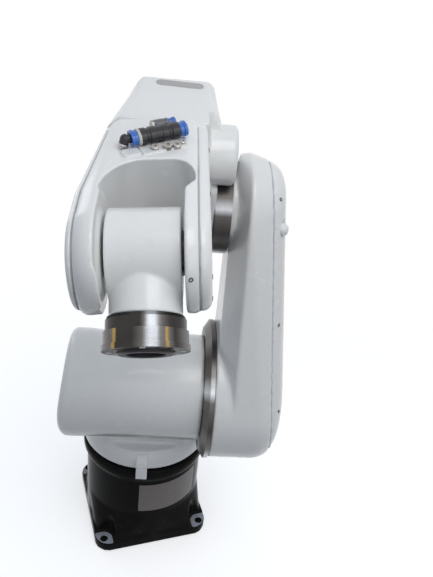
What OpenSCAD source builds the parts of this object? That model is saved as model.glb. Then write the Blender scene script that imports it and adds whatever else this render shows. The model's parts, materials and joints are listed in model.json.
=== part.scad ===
// Small six-axis robot arm on a square bolted foot.
// Front is -Y, up is +Z, the origin is the middle of the foot's underside.

/* [Foot and column] */
// Side of the square foot
foot_width = 186; // [182:1:200]
// Thickness of the foot at its edge
foot_thickness = 20; // [14:1:26]
// Corner radius of the foot
foot_corner = 24; // [14:1:34]
// Middle of a foot bolt from the edges of the foot
bolt_edge = 13; // [12:0.5:19]
// Diameter of a foot bolt hole
bolt_hole = 12; // [9:0.5:14]
// Radius of the round column
column_radius = 93; // [84:1:95]
// Radius of the collar round the top of the column
collar_radius = 99; // [96:1:102]
// Height of the top of the column
column_height = 168; // [150:1:178]
// Reach of the connector box behind the turning axis
box_reach = 122; // [112:1:132]
// Width of the connector box
box_width = 104; // [92:1:120]

/* [Turret] */
// Turn of the turret on the foot
turret_turn = -15.8; // [-170:0.1:170]
// Radius of the turret's round foot
disc_radius = 99; // [95:1:106]
// Height of the turret's round foot
disc_height = 34; // [26:1:40]
// Shoulder axis ahead of the turning axis
shoulder_forward = 82.5; // [70:0.5:95]
// Shoulder axis above the ground
shoulder_height = 323.5; // [316:0.5:345]
// Radius of the shoulder barrel
shoulder_radius = 74.5; // [66:0.5:80]
// Closed end of the shoulder barrel from the turning axis
shoulder_left = 114; // [98:1:122]
// Ring end of the shoulder barrel from the turning axis
shoulder_right = 76; // [70:1:82]
// Radius of the steel shoulder ring
ring_radius = 97.5; // [92:0.5:102]
// Width of the steel shoulder ring
ring_width = 12.7; // [9:0.1:16]

/* [Lower arm] */
// Lean of the lower arm, forward is positive
arm_lean = -5.7; // [-100:0.1:80]
// Shoulder axis to elbow axis
arm_length = 270; // [255:1:300]
// Radius of the lower arm round the shoulder axis
arm_lower_radius = 95.5; // [88:0.5:100]
// Radius of the lower arm round the elbow axis
arm_upper_radius = 68.5; // [64:0.5:76]
// Width of the lower arm at the shoulder
arm_lower_width = 95; // [86:1:103]
// Width of the lower arm at the elbow
arm_upper_width = 68; // [60:1:74]
// Width of the inner bevel at the elbow
arm_bevel = 19; // [12:1:24]
// Depth of the inner bevel at the elbow
bevel_depth = 42; // [20:1:46]
// Rounding of the cover's outer edge at the elbow
cover_round = 28; // [22:1:34]
// Depth of the outer cover
cover_depth = 17; // [12:0.5:20]

/* [Elbow] */
// Turn of the elbow on the lower arm, downward is positive
elbow_fold = 14.9; // [-209:0.1:65]
// Forearm axis above the elbow axis
axis_rise = 94; // [88:0.5:100]
// Forearm axis to the side of the turning axis
forearm_offset = -4; // [-9:0.5:0]
// Radius of the elbow barrel
barrel_radius = 57; // [52:0.5:61]
// Radius of the steel elbow ring
elbow_ring_radius = 60; // [56:0.5:63]
// Height of the elbow housing above the forearm axis
housing_top = 48; // [44:0.5:52]
// Elbow housing behind the elbow axis
housing_rear = 34; // [26:1:42]
// Radius of the round motor boss
boss_radius = 34; // [28:0.5:36]

/* [Fork] */
// Roll of the fork about the forearm axis
forearm_roll = -6; // [-190:0.1:190]
// Elbow axis to the start of the fork
fork_start = 73; // [70:0.5:80]
// Elbow axis to the wrist axis
wrist_reach = 241; // [234:1:270]
// Width of the fork over its covers
fork_width = 115; // [108:1:121]
// Radius of the fork's end
fork_radius = 50; // [47:0.5:53]
// Width of the slot between the tines
slot_width = 70; // [68:0.5:73]
// Radius of the hollow that the wrist swings in
pocket_radius = 94; // [90:0.5:100]
// Thickness of the right fork cover
right_cover = 10.5; // [7:0.5:11]
// Thickness of the left fork cover
left_cover = 6; // [4:0.5:8]
// How much wider the fork is on its left
left_extra = 5.5; // [0:0.5:7]

/* [Wrist] */
// Bend of the wrist, downward is positive
wrist_bend = 38.6; // [-120:0.1:120]
// Radius of the wrist barrel
wrist_radius = 40.5; // [38.5:0.5:42]
// Width of the wrist barrel
wrist_width = 64; // [61:0.5:67]
// Radius of the wrist neck
neck_radius = 32; // [30:0.5:33]
// Wrist axis to the end of the neck
neck_reach = 57; // [54:0.5:62]
// Wrist axis to the tool face
flange_reach = 86.5; // [84:0.5:94]
// Radius of the tool flange
flange_radius = 38; // [37:0.5:40]
// Diameter of the circle of tool bolts
tool_circle = 63; // [60:0.5:65]
// Diameter of the tool flange's centring hole
pilot_bore = 50; // [46:0.5:52]

/* [Fits] */
// Gap between a turning piece and its seat
turn_gap = 0.3; // [0.2:0.05:0.5]
// Gap round a pin in its bore
pin_gap = 0.3; // [0.2:0.05:0.5]
// Gap between a fixed piece and its seat
seat_gap = 0.1; // [0.05:0.05:0.3]

/* [Hidden] */
$fn = 96;
white = [0.92, 0.92, 0.88];
black = [0.07, 0.07, 0.08];
steel = [0.62, 0.62, 0.63];
dark_steel = [0.36, 0.35, 0.34];
grey = [0.62, 0.62, 0.60];
blue = [0.12, 0.36, 0.72];

bolt_spacing = foot_width - 2 * bolt_edge;
foot_loft = 46;
loft_corner = 46;
pad_radius = 17;
pad_depth = 3;
collar_height = 24;
collar_round = 9;
seal_height = 4;
seal_radius = disc_radius - 7;
seal_bore = 60;
box_bottom = foot_thickness + 12;
box_height = 92;
panel_margin = 7;
panel_thickness = 3;
power_radius = 15;
signal_radius = 12;
air_radius = 6;
socket_spread = 28;

disc_bottom = column_height + seal_height + turn_gap;
disc_top = disc_bottom + disc_height;
disc_round = 14;
disc_lip = 4;
neck_left = shoulder_left - 34;
neck_right = shoulder_right - 10;
neck_rear = 78;
neck_rise = 62;
neck_round = 40;
barrel_inset = 1;
shoulder_round = 20;
tab_width = 16.5;
tab_drop = 8;
tab_depth = 20;
tab_top = 3;
tab_thickness = 6;
tab_out = max(collar_radius, disc_radius) + 5;
tab_side = -0.75;
ring_bore = 46;
ring_step = 7;
ring_cone = 11;
ring_clear = 5;

arm_inner = shoulder_right + ring_width + turn_gap;
arm_lower_seam = arm_inner + arm_lower_width - cover_depth;
arm_upper_seam = arm_inner + arm_upper_width - cover_depth;
lower_round = 36;
cover_inset = 1;
arm_step = 2.5;
arm_face = arm_inner + arm_step;
seat_radius = 46;
lower_bevel = arm_bevel + 5;
bevel_rise = 20;
arm_taper = 6.5;
crown_radius = 16;
crown_inset = 7;
seam_reach = arm_length;
plug_radius = 6.5;
plug_height = 5;
plug_seat = 3;
plug_turn = 26;
plug_drop = 6;

ring_out = arm_inner - turn_gap;
elbow_ring_width = 20;
elbow_ring_bore = 30;
barrel_right = ring_out - elbow_ring_width;
barrel_left = -34;
boss_end = arm_face - 5.2;
boss_back = 34;
boss_rise = axis_rise - 6;
boss_round = 5;
boss_depth = 36;
housing_left = 56;
housing_right = 72;
housing_draft = 9;
housing_front = fork_start - 3;
top_bevel = 14;
rear_bevel = 7;
rear_narrow_left = 25;
rear_narrow_right = 13;
spigot_radius = 45;

fork_half = fork_width / 2;
left_half = fork_half + left_extra;
right_seam = fork_half - right_cover;
left_seam = left_half - left_cover;
slot_half = slot_width / 2;
fork_length = wrist_reach - fork_start;
nose_forward = 4;
fork_round = 24;
left_round = 5;
right_round = 9;
palm_start = 57;
palm_left = 41;
palm_right = 44;
palm_left_round = 40;
palm_right_round = 22;
tine_bevel_start = 35;
tine_bevel = 3.5;
tine_nose = 44;
pin_radius = 20;
pin_depth = 9;
cover_gap = 0.3;
left_edge = fork_edge(left_cover) - cover_gap;
right_edge = fork_edge(right_cover) - cover_gap;
cover_start = 10;
fitting_back = 53;
fitting_side = 9;
fitting_turn = 22;
bracket_height = 1.5;
bracket_width = 44;
bracket_length = 30;
bracket_forward = 6;
fitting_radius = 7.2;
fitting_length = 42;
fitting_lift = bracket_height + fitting_radius;
collar_length = 8;
branch_radius = 5.5;
branch_length = 22;
branch_back = 17;

neck = min(neck_radius, wrist_width / 2);
ring_reach = neck_reach + 12.5;
ring_rise = 3;
flange_depth = flange_reach - ring_reach - turn_gap;
flange_step = 5;
flange_ledge = 1.2;
pilot_depth = 6;
sleeve_depth = 3;
sleeve_bore = 33;
middle_depth = 14;
tool_bolt = 6;
tool_bolt_depth = 12;

// Places of the links

module on_turret() {
    rotate([0, 0, turret_turn]) children();
}

module on_arm() {
    on_turret()
        translate([0, -shoulder_forward, shoulder_height])
            rotate([arm_lean, 0, 0]) children();
}

module on_elbow() {
    on_arm()
        translate([0, 0, arm_length])
            rotate([elbow_fold, 0, 0]) children();
}

// Forearm frame: on the forearm axis at the start of the fork
module on_fork() {
    on_elbow()
        translate([forearm_offset, -fork_start, axis_rise])
            rotate([0, forearm_roll, 0]) children();
}

module on_wrist() {
    on_fork()
        translate([0, -fork_length, 0])
            rotate([wrist_bend, 0, 0]) children();
}

// Shapes that repeat

module rod_x(from, to, radius) {
    translate([from, 0, 0])
        rotate([0, 90, 0])
            cylinder(h = to - from, r = radius);
}

module rod_forward(from, to, radius) {
    translate([0, -from, 0])
        rotate([90, 0, 0])
            cylinder(h = to - from, r = radius);
}

module tube(height, radius, bore) {
    difference() {
        cylinder(h = height, r = radius);
        translate([0, 0, -1])
            cylinder(h = height + 2, r = bore);
    }
}

module rounded_square(side, corner) {
    union() {
        square([side, side - 2 * corner], center = true);
        square([side - 2 * corner, side], center = true);
        for (x = [-1, 1], y = [-1, 1])
            translate([x, y] * (side / 2 - corner)) circle(corner);
    }
}

// Half section of a disc of this radius, from 0 to height, with its top edge rounded
module rounded_half(radius, height, round_by) {
    square([radius - round_by, height]);
    square([radius, height - round_by]);
    translate([radius - round_by, height - round_by]) circle(round_by);
}

// Cylinder along +X with its far edge rounded
module rounded_rod(from, to, radius, round_by) {
    translate([from, 0, 0])
        rotate([0, 90, 0])
            rotate_extrude()
                intersection() {
                    rounded_half(radius, to - from, round_by);
                    square([radius, to - from]);
                }
}

module at_bolts(spacing) {
    for (x = [-1, 1], y = [-1, 1])
        translate([x, y, 0] * spacing / 2) children();
}

// Foot and column

module column_profile() {
    square([column_radius, column_height - collar_height]);
    translate([0, column_height - collar_height])
        intersection() {
            union() {
                square([collar_radius - collar_round, collar_height]);
                translate([0, collar_round])
                    square([collar_radius, collar_height - 2 * collar_round]);
                translate([collar_radius - collar_round, collar_round]) circle(collar_round);
                translate([collar_radius - collar_round, collar_height - collar_round])
                    circle(collar_round);
            }
            square([collar_radius, collar_height]);
        }
}

// Flat for a foot bolt, open towards the corner
module pad_outline() {
    circle(pad_radius);
    translate([0, -pad_radius]) square([foot_width, foot_width]);
    translate([-pad_radius, 0]) square([foot_width, foot_width]);
}

module base_casting() {
    color(black)
        difference() {
            union() {
                linear_extrude(foot_thickness) rounded_square(foot_width, foot_corner);
                hull() {
                    translate([0, 0, foot_thickness - 1])
                        linear_extrude(1) rounded_square(foot_width - 6, loft_corner);
                    translate([0, 0, foot_thickness + foot_loft])
                        cylinder(h = 1, r = column_radius);
                }
                rotate_extrude() column_profile();
                translate([-box_width / 2, 0, box_bottom])
                    cube([box_width, box_reach, box_height]);
            }
            at_bolts(bolt_spacing) {
                translate([0, 0, -1])
                    cylinder(h = foot_thickness + 2, d = bolt_hole);
            }
            for (x = [0, 1], y = [0, 1])
                mirror([x, 0, 0])
                    mirror([0, y, 0])
                        translate([bolt_spacing / 2, bolt_spacing / 2, foot_thickness - pad_depth])
                            linear_extrude(foot_loft) pad_outline();
        }
}

module base_seal() {
    color(black)
        translate([0, 0, column_height])
            tube(seal_height, seal_radius, seal_bore);
}

module connector_panel() {
    color(grey)
        translate([-box_width / 2 + panel_margin, box_reach, box_bottom + panel_margin])
            cube([box_width - 2 * panel_margin, panel_thickness, box_height - 2 * panel_margin]);
}

module socket(side, rise, radius, depth) {
    translate([side, box_reach + panel_thickness, box_bottom + box_height * rise])
        rotate([-90, 0, 0])
            difference() {
                cylinder(h = depth, r = radius);
                translate([0, 0, depth - 5])
                    cylinder(h = 6, r = radius - 3);
            }
}

module power_socket() {
    color(black) socket(-socket_spread / 2 - 8, 0.62, power_radius, 14);
}

module signal_socket() {
    color(black) socket(socket_spread / 2 + 8, 0.62, signal_radius, 12);
}

module air_inlet() {
    color(steel) socket(0, 0.26, air_radius, 12);
}

// Turret

module turret_foot() {
    translate([0, 0, disc_bottom])
        rotate_extrude()
            union() {
                square([disc_radius - disc_lip, disc_height]);
                intersection() {
                    translate([0, disc_lip])
                        rounded_half(disc_radius, disc_height - disc_lip, disc_round);
                    square([disc_radius, disc_height]);
                }
                intersection() {
                    translate([disc_radius - disc_lip, disc_lip]) circle(disc_lip);
                    square([disc_radius, disc_height]);
                }
            }
}

// Neck that rises behind the barrel, with a round back that runs tangent into the barrel
module turret_neck() {
    low = disc_top - disc_round - 2;
    back = [neck_rear - neck_round, disc_top + neck_rise - neck_round];
    barrel = [-shoulder_forward, shoulder_height];
    tip = shoulder_radius - barrel_inset;
    lean = atan2(barrel[1] - back[1], back[0] - barrel[0]);
    drop = asin((tip - neck_round) / norm(barrel - back));
    up = [sin(lean + drop), cos(lean + drop)];
    rotate([90, 0, 90])
        translate([0, 0, -neck_left])
            linear_extrude(neck_left + neck_right) {
                polygon([
                    [-shoulder_forward + 6, low], [neck_rear, low], [neck_rear, back[1]],
                    back + neck_round * up, barrel + tip * up, barrel
                ]);
                translate(back) circle(neck_round);
                translate(barrel) circle(tip);
            }
}

module turret_casting() {
    color(white)
        on_turret() {
            difference() {
                union() {
                    turret_foot();
                    intersection() {
                        turret_neck();
                        cylinder(h = 2 * shoulder_height, r = disc_radius - 3);
                    }
                }
                translate([0, -shoulder_forward, shoulder_height])
                    rod_x(shoulder_right, 2 * disc_radius, ring_radius + ring_clear);
            }
            translate([0, -shoulder_forward, shoulder_height])
                rotate([0, 0, 180])
                    rounded_rod(-shoulder_right, shoulder_left, shoulder_radius, shoulder_round);
        }
}

module turret_tab() {
    color(white)
        on_turret()
            difference() {
                translate([tab_side - tab_width / 2, -tab_out - tab_thickness, disc_bottom])
                    union() {
                        translate([0, 0, -tab_drop])
                            cube([tab_width, tab_thickness, disc_height + tab_drop - tab_top]);
                        translate([0, 0, disc_lip + 2])
                            cube([tab_width, tab_depth, disc_height - disc_lip - 2 - tab_top]);
                    }
                turret_foot();
            }
}

module shoulder_ring() {
    color(steel)
        on_turret()
            translate([shoulder_right, -shoulder_forward, shoulder_height])
                rotate([0, 90, 0])
                    difference() {
                        union() {
                            cylinder(h = ring_step, r1 = ring_radius - ring_cone, r2 = ring_radius);
                            translate([0, 0, ring_step])
                                cylinder(h = ring_width - ring_step, r = ring_radius);
                        }
                        translate([0, 0, -1])
                            cylinder(h = ring_width + 2, r = ring_bore);
                    }
}

// Lower arm, from the shoulder axis up to the elbow axis

// Plane of the seam between the lower arm and its cover, with the cover on +X
module on_seam() {
    translate([arm_lower_seam, 0, 0])
        rotate([0, atan((arm_upper_seam - arm_lower_seam) / arm_length), 0]) children();
}

// Whole lower arm with its cover, drawn in by inset on the outside
module arm_form(inset) {
    $fn = 72;
    hull() {
        translate([arm_face, 0, 0])
            rotate([0, 90, 0])
                cylinder(h = lower_bevel, r1 = arm_lower_radius - bevel_depth,
                    r2 = arm_lower_radius - inset);
        rounded_rod(arm_face + lower_bevel, arm_inner + arm_lower_width - inset,
            arm_lower_radius - inset, lower_round);
        translate([0, 0, arm_length]) {
            translate([0, 0, bevel_rise])
                rod_x(arm_face, arm_face + 1, arm_upper_radius - bevel_depth);
            translate([0, 0, arm_upper_radius - crown_radius - 1])
                rod_x(arm_face + crown_inset, arm_face + arm_bevel, crown_radius);
            rod_x(arm_face + arm_bevel, arm_face + arm_bevel + 1, arm_upper_radius);
            rounded_rod(arm_face + arm_bevel, arm_inner + arm_upper_width - inset,
                arm_upper_radius - arm_taper - inset, cover_round);
        }
    }
}

module lower_arm_casting() {
    color(white)
        on_arm() {
            difference() {
                arm_form(0);
                on_seam()
                    translate([-cover_gap, -seam_reach, -seam_reach])
                        cube([seam_reach, 2 * seam_reach, 2 * seam_reach + arm_length]);
            }
            rod_x(arm_inner, arm_face + lower_bevel, arm_lower_radius);
            translate([0, 0, arm_length])
                rod_x(arm_inner, arm_face + 1, seat_radius);
        }
}

module lower_arm_cover() {
    color(white)
        on_arm()
            difference() {
                arm_form(cover_inset);
                on_seam()
                    translate([-seam_reach, -seam_reach, -seam_reach])
                        cube([seam_reach, 2 * seam_reach, 2 * seam_reach + arm_length]);
                on_edge()
                    translate([0, 0, -plug_seat])
                        cylinder(h = 2 * plug_seat, r = plug_radius + pin_gap);
            }
}

// Middle of the rounded outer edge beside the elbow axis, with +Z out of it
module on_edge() {
    translate([arm_upper_seam + cover_depth - cover_inset - cover_round, 0, arm_length])
        translate([0, cover_inset + cover_round + arm_taper - arm_upper_radius, -plug_drop])
            rotate([0, 90, -plug_turn])
                translate([0, 0, cover_round]) children();
}

module lower_arm_plug() {
    color(white)
        on_arm()
            on_edge()
                translate([0, 0, seat_gap - plug_seat])
                    cylinder(h = plug_seat + plug_height, r = plug_radius);
}

// Elbow, with the forearm axis along -Y

module elbow_ring() {
    color(dark_steel)
        on_elbow()
            translate([barrel_right, 0, 0])
                rotate([0, 90, 0])
                    tube(elbow_ring_width, elbow_ring_radius, elbow_ring_bore);
}

module elbow_section(left, right, low, high, bevel, draft) {
    polygon([
        [-left, low], [right - draft, low], [right, high - bevel], [right - bevel, high],
        [-left + bevel, high], [-left, high - bevel]
    ]);
}

// Outside of the elbow: barrel, box over it and the wall that joins them
module elbow_form() {
    union() {
        rod_x(barrel_left, barrel_right, barrel_radius);
        hull() {
            translate([0, -housing_front, axis_rise])
                rotate([90, 0, 180])
                    mirror([1, 0, 0])
                        linear_extrude(1)
                            elbow_section(housing_left, housing_right - 4,
                                -fork_radius, housing_top, top_bevel, housing_draft);
            translate([0, housing_rear, axis_rise])
                rotate([90, 0, 180])
                    mirror([1, 0, 0])
                        linear_extrude(1)
                            elbow_section(housing_left - rear_narrow_left,
                                housing_right - rear_narrow_right,
                                -fork_radius, housing_top, rear_bevel, 0);
        }
        hull() {
            rod_x(barrel_left, barrel_right, barrel_radius - 3);
            translate([barrel_left, -barrel_radius, axis_rise - fork_radius])
                cube([barrel_right - barrel_left, barrel_radius + housing_rear, 10]);
        }
    }
}

module elbow_housing() {
    color(white)
        on_elbow() elbow_form();
}

module elbow_boss() {
    color(white)
        on_elbow()
            difference() {
                translate([0, -boss_back, boss_rise])
                    rounded_rod(boss_end - boss_depth, boss_end, boss_radius, boss_round);
                elbow_form();
            }
}

// Fork, with the forearm axis along -Y from its start

module fork_profile(half) {
    intersection() {
        union() {
            square([2 * (half - fork_round), 2 * fork_radius], center = true);
            square([2 * half, 2 * (fork_radius - fork_round)], center = true);
            for (x = [-1, 1], y = [-1, 1])
                translate([x * (half - fork_round), y * (fork_radius - fork_round)])
                    circle(fork_round);
        }
        square([2 * half, 2 * fork_radius], center = true);
    }
}

// Whole fork without its slot: a rounded bar with a round nose, wider on its left
module fork_form() {
    half = fork_half + left_extra / 2;
    translate([-left_extra / 2, 0, 0]) {
        rotate([90, 0, 0])
            linear_extrude(fork_length + nose_forward) fork_profile(half);
        translate([0, -fork_length - nose_forward, 0])
            rotate([0, 90, 0])
                rotate_extrude()
                    intersection() {
                        rotate(90) fork_profile(half);
                        translate([0, -half])
                            square([fork_radius, 2 * half]);
                    }
    }
}

// Half height of the fork at a distance in from its side
function fork_edge(depth) =
    fork_radius - fork_round + sqrt(pow(fork_round, 2) - pow(fork_round - depth, 2));

// Middle of the fork, between its two seams
module fork_middle() {
    intersection() {
        fork_form();
        translate([-left_seam, -2 * fork_length, -fork_radius])
            cube([left_seam + right_seam, 2 * fork_length, 2 * fork_radius]);
    }
}

// Section of a fork cover: out from the seam, then up
module cover_section(depth, edge, round) {
    translate([0, -edge])
        square([depth - round, 2 * edge]);
    translate([0, round - edge])
        square([depth, 2 * (edge - round)]);
    for (y = [-1, 1])
        intersection() {
            translate([depth - round, y * (edge - round)]) circle(round);
            translate([0, -edge])
                square([depth, 2 * edge]);
        }
}

// Straight length of a cover on the fork's right, from one distance past the start to another
module cover_bar(seam, depth, edge, round, from, to) {
    translate([seam, -from, 0])
        rotate([90, 0, 0])
            linear_extrude(to - from) cover_section(depth, edge, round);
}

// Cover on the fork's right, with a round nose
module cover_form(seam, depth, edge, round) {
    cover_bar(seam, depth, edge, round, cover_start + cover_gap, fork_length + nose_forward);
    translate([seam, -fork_length - nose_forward, 0])
        rotate([0, 90, 0])
            rotate_extrude()
                intersection() {
                    rotate(90) cover_section(depth, edge, round);
                    square([edge, depth]);
                }
}

// Half section of the hollow about the wrist axis: reach from the axis, then side
module palm_section() {
    intersection() {
        union() {
            translate([0, -palm_left])
                square([pocket_radius - palm_left_round, palm_left + palm_right]);
            translate([0, palm_left_round - palm_left])
                square([pocket_radius, palm_left + palm_right - palm_left_round - palm_right_round]);
            translate([0, palm_left_round - palm_left])
                square([pocket_radius - palm_right_round, palm_left + palm_right - palm_left_round]);
            translate([pocket_radius - palm_left_round, palm_left_round - palm_left])
                circle(palm_left_round);
            translate([pocket_radius - palm_right_round, palm_right - palm_right_round])
                circle(palm_right_round);
        }
        polygon([
            [tine_bevel_start, slot_half], [tine_bevel_start, -slot_half],
            [tine_bevel_start + 2 * tine_bevel, -slot_half - tine_bevel],
            [palm_start, -slot_half - tine_bevel],
            [palm_start + palm_left - slot_half - tine_bevel, -palm_left],
            [pocket_radius, -palm_left], [pocket_radius, palm_right],
            [palm_start + palm_right - slot_half, palm_right], [palm_start, slot_half]
        ]);
    }
}

// Slot between the tines, with a hollow behind it that the wrist and flange swing in
module fork_slot() {
    translate([0, -fork_length, 0]) {
        rod_x(-slot_half, slot_half, palm_start);
        difference() {
            rotate([0, 90, 0])
                rotate_extrude() palm_section();
            translate([0, 0, -fork_radius - 1])
                linear_extrude(2 * fork_radius + 2)
                    polygon([
                        [-palm_left - 1, tine_bevel - tine_nose], [-palm_left - 1, -palm_start],
                        [4 - slot_half, -palm_start]
                    ]);
        }
    }
}

module fork_casting() {
    color(white)
        on_fork()
            difference() {
                union() {
                    fork_middle();
                    cover_bar(right_seam - 2, right_cover + 2, right_edge, right_round, 0, cover_start);
                    mirror([1, 0, 0])
                        cover_bar(left_seam - 2, left_cover + 2, left_edge, left_round, 0, cover_start);
                    rod_forward(-(fork_start - housing_front - turn_gap), 1, spigot_radius);
                }
                fork_slot();
                translate([0, -fork_length, 0])
                    rod_x(-slot_half - pin_depth - pin_gap, slot_half + pin_depth + pin_gap,
                        pin_radius + pin_gap);
            }
}

module fork_left_cover() {
    color(white)
        on_fork()
            mirror([1, 0, 0])
                cover_form(left_seam + cover_gap, left_cover - cover_gap, left_edge, left_round);
}

module fork_right_cover() {
    color(white)
        on_fork()
            cover_form(right_seam + cover_gap, right_cover - cover_gap, right_edge, right_round);
}

// Air fitting on the fork

module on_fitting() {
    on_fork()
        translate([fitting_side, -fitting_back, fork_radius])
            rotate([0, 0, fitting_turn]) children();
}

module fitting_bracket() {
    color(steel)
        on_fitting()
            translate([-bracket_width / 2, -bracket_length / 2 - bracket_forward, 0])
                cube([bracket_width, bracket_length, bracket_height]);
}

module fitting_body() {
    color(black)
        on_fitting() {
            translate([0, 0, fitting_lift])
                rod_x(-fitting_length / 2, fitting_length / 2, fitting_radius);
            translate([-fitting_length / 4, -fitting_radius / 2, bracket_height])
                cube([fitting_length / 2, fitting_radius, fitting_lift - bracket_height]);
        }
}

module fitting_collar(side) {
    translate([side * (fitting_length + collar_length) / 2, 0, fitting_lift])
        rod_x(-collar_length / 2, collar_length / 2, fitting_radius - 1);
}

module fitting_left_collar() {
    color(blue)
        on_fitting() fitting_collar(-1);
}

module fitting_right_collar() {
    color(blue)
        on_fitting() fitting_collar(1);
}

module fitting_branch() {
    color(black)
        on_fitting()
            difference() {
                translate([0, 0, fitting_lift]) {
                    translate([0, branch_back, 0])
                        rod_x(-branch_length / 4, branch_length * 0.75, branch_radius);
                    translate([branch_length / 4, 0, 0])
                        rotate([-90, 0, 0])
                            cylinder(h = branch_back, r = branch_radius - 1);
                }
                translate([0, 0, fitting_lift])
                    rod_x(-fitting_length, fitting_length, fitting_radius);
            }
}

module fitting_branch_collar() {
    color(blue)
        on_fitting()
            translate([branch_length * 0.75, branch_back, fitting_lift])
                rod_x(0, collar_length - 2, branch_radius - 1);
}

module fitting_elbow() {
    color(dark_steel)
        on_fitting()
            translate([-fitting_length / 2 - collar_length, 0, fitting_lift]) {
                rod_x(-10, 0, 5.5);
                translate([-10, 0, 0]) sphere(5.5);
                translate([-10, 0, -fitting_lift + 2])
                    cylinder(h = fitting_lift - 2, r = 5.5);
            }
}

// Wrist, with the tool axis along -Y

module wrist_housing() {
    color(white)
        on_wrist() {
            rod_x(-wrist_width / 2, wrist_width / 2, wrist_radius);
            rod_forward(0, neck_reach, neck);
        }
}

module wrist_pin(side) {
    from = wrist_width / 2 + seat_gap;
    to = slot_half + pin_depth;
    translate([side * (from + to) / 2, 0, 0])
        rod_x((from - to) / 2, (to - from) / 2, pin_radius);
}

module wrist_left_pin() {
    color(steel)
        on_wrist() wrist_pin(-1);
}

module wrist_right_pin() {
    color(steel)
        on_wrist() wrist_pin(1);
}

module wrist_ring() {
    color(steel)
        on_wrist()
            translate([0, -neck_reach, 0])
                rotate([90, 0, 0]) {
                    cylinder(h = ring_rise, r1 = neck + 1.5, r2 = neck + 3);
                    translate([0, 0, ring_rise])
                        cylinder(h = ring_reach - neck_reach - ring_rise, r = neck + 3);
                }
}

module tool_flange() {
    color(steel)
        on_wrist()
            translate([0, -ring_reach - turn_gap, 0])
                rotate([90, 0, 0])
                    difference() {
                        union() {
                            cylinder(h = flange_depth, r = flange_radius - flange_ledge);
                            translate([0, 0, flange_depth - flange_step])
                                cylinder(h = flange_step, r = flange_radius);
                        }
                        translate([0, 0, flange_depth - pilot_depth])
                            cylinder(h = pilot_depth + 1, d = pilot_bore);
                        translate([0, 0, flange_depth - pilot_depth - sleeve_depth])
                            cylinder(h = pilot_depth, d = pilot_bore - 2);
                        translate([0, 0, flange_depth - middle_depth])
                            cylinder(h = middle_depth, d = sleeve_bore);
                        for (a = [45 : 90 : 315])
                            rotate([0, 0, a])
                                translate([tool_circle / 2, 0, flange_depth - tool_bolt_depth])
                                    cylinder(h = tool_bolt_depth + 1, d = tool_bolt - 1);
                    }
}

module flange_sleeve() {
    color(black)
        on_wrist()
            translate([0, -flange_reach + pilot_depth + sleeve_depth, 0])
                rotate([90, 0, 0])
                    tube(sleeve_depth, pilot_bore / 2 - 1 - pin_gap, sleeve_bore / 2);
}

base_casting();
base_seal();
connector_panel();
power_socket();
signal_socket();
air_inlet();
turret_casting();
turret_tab();
shoulder_ring();
lower_arm_casting();
lower_arm_cover();
lower_arm_plug();
elbow_ring();
elbow_housing();
elbow_boss();
fork_casting();
fork_left_cover();
fork_right_cover();
fitting_bracket();
fitting_body();
fitting_left_collar();
fitting_right_collar();
fitting_branch();
fitting_branch_collar();
fitting_elbow();
wrist_housing();
wrist_left_pin();
wrist_right_pin();
wrist_ring();
tool_flange();
flange_sleeve();
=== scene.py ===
# %% [markdown]
# # A small six-axis robot arm
#
# The solids of the arm come from a CAD pack. This lesson dresses them: it softens the
# castings, seats the screws, gaskets and air fitting, and gives every surface a finish.
# Each step says what the real piece is, and why it is made the way it is.

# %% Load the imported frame
import json
import math

import bmesh
import bpy
from mathutils import Matrix, Vector

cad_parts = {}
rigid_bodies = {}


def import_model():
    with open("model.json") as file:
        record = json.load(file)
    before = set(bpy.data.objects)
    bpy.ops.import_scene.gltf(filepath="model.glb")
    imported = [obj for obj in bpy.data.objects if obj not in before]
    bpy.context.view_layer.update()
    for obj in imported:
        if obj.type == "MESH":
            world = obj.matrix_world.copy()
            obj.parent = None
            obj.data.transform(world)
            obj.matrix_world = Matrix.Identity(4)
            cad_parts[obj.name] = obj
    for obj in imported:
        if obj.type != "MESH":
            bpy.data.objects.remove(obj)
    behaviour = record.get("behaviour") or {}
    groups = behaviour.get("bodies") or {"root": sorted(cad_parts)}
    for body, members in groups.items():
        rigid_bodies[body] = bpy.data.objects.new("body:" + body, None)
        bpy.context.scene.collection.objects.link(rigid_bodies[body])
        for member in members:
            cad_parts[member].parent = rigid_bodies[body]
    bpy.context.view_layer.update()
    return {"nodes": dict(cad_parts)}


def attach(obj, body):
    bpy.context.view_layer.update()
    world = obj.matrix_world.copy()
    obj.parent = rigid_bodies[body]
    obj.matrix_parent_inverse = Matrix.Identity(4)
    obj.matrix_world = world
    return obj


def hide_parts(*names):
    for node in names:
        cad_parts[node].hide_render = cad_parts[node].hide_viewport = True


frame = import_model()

MM = 0.001

# %% [markdown]
# ## Camera
#
# The photograph looks down on the arm from the front, a little rolled. A camera is a place
# and three axes, so its matrix is built from the heading, the pitch and the roll, which is
# steadier than a Track To constraint when the roll matters.

# %% Camera
PHOTO_HEIGHT_PX = 577
FOCAL_PX = 656.85
SENSOR_MM = 36
CAMERA_PLACE = Vector((-0.2146, -0.7971, 0.91085))
HEADING, PITCH, ROLL = (math.radians(a) for a in (21.39, 29.6, 6.4))

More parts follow.
